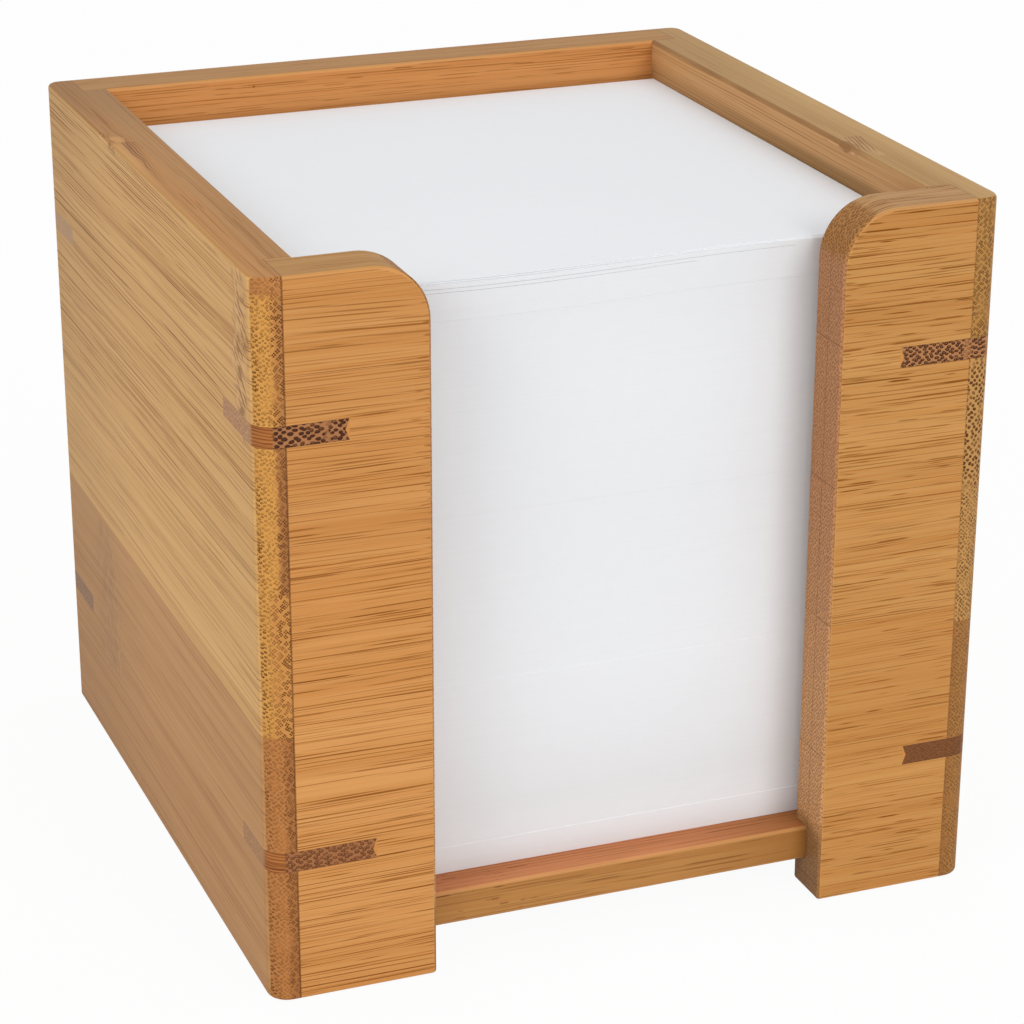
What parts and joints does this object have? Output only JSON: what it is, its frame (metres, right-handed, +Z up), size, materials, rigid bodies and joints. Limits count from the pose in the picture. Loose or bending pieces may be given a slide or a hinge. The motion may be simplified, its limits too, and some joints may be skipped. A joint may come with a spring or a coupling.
{
  "type": "memo paper box",
  "caption": "Open-topped square desk box of laminated bamboo with a finger gap in its front, keyed corners and a raised base plate, holding loose square note paper.",
  "frame": {"origin": "centre of the underside of the box, at the height of the surface it stands on", "axes": "+Z up, -Y towards the open front between the posts, +X to the right seen from the front"},
  "size_m": [0.107, 0.11, 0.104],
  "materials": {
    "side_bamboo": "satin lacquered bamboo, grain front to back",
    "board_bamboo": "satin lacquered bamboo, grain left to right",
    "base_bamboo": "satin lacquered bamboo, grain left to right",
    "key_bamboo": "carbonised bamboo, satin",
    "note_paper": "uncoated white paper"
  },
  "bodies": {
    "box": {"left_side_panel": "side_bamboo", "right_side_panel": "side_bamboo", "back_panel": "board_bamboo", "left_front_post": "board_bamboo", "right_front_post": "board_bamboo", "front_left_upper_key": "key_bamboo", "front_left_lower_key": "key_bamboo", "front_right_upper_key": "key_bamboo", "front_right_lower_key": "key_bamboo", "back_left_upper_key": "key_bamboo", "back_left_lower_key": "key_bamboo", "back_right_upper_key": "key_bamboo", "back_right_lower_key": "key_bamboo", "base_plate": "base_bamboo"},
    "paper_stack": {"note_paper_stack": "note_paper"},
    "second_note": {"loose_second_note": "note_paper"},
    "top_note": {"loose_top_note": "note_paper"}
  },
  "joints": [
    {"name": "paper_stack_lift", "type": "slide", "parent": "box", "child": "paper_stack", "axis": [0, 0, 1], "range_m": [0, 0.1]},
    {"name": "second_note_lift", "type": "slide", "parent": "paper_stack", "child": "second_note", "axis": [0, 0, 1], "range_m": [0, 0.02]},
    {"name": "top_note_lift", "type": "slide", "parent": "second_note", "child": "top_note", "axis": [0, 0, 1], "range_m": [0, 0.03]}
  ]
}
